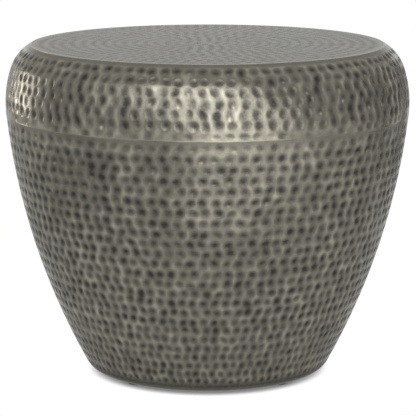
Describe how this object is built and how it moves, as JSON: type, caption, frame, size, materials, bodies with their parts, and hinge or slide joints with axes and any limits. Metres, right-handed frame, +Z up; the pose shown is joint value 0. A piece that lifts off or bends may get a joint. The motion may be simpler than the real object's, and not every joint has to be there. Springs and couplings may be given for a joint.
{
  "type": "drum side table",
  "caption": "Hollow drum side table of hammered sheet metal: flat round top, rounded shoulder, and a bowed wall that tapers to a small rounded base.",
  "frame": {"origin": "middle of the floor contact, under the foot pads", "axes": "+Z up along the drum's axis of symmetry; the long brace bar runs along X"},
  "size_m": [0.5568, 0.5568, 0.457],
  "materials": {
    "shell_metal": "hammered, antique grey patina in the dimples, rubbed bright on the ridges",
    "top_metal": "hammered in rings, antique grey patina, satin",
    "weld_metal": "dressed by hand and patinated",
    "brace_steel": "satin black paint",
    "rivet_metal": "plain, as set",
    "fastener_steel": "zinc plated",
    "pad_rubber": "matt black"
  },
  "bodies": {
    "root": {"top_disc": "top_metal", "crown_weld": "weld_metal", "shoulder_shell": "shell_metal", "seam_weld": "weld_metal", "lower_shell": "shell_metal", "brace_bar_long": "brace_steel", "brace_bar_cross": "brace_steel", "brace_rivets": "rivet_metal", "brace_centre_rivet": "rivet_metal", "base_ring": "brace_steel", "foot_pad_1": "pad_rubber", "foot_pad_2": "pad_rubber", "foot_pad_3": "pad_rubber", "foot_pad_4": "pad_rubber", "foot_screws": "fastener_steel", "foot_washers": "fastener_steel", "foot_nuts": "fastener_steel"}
  },
  "joints": []
}
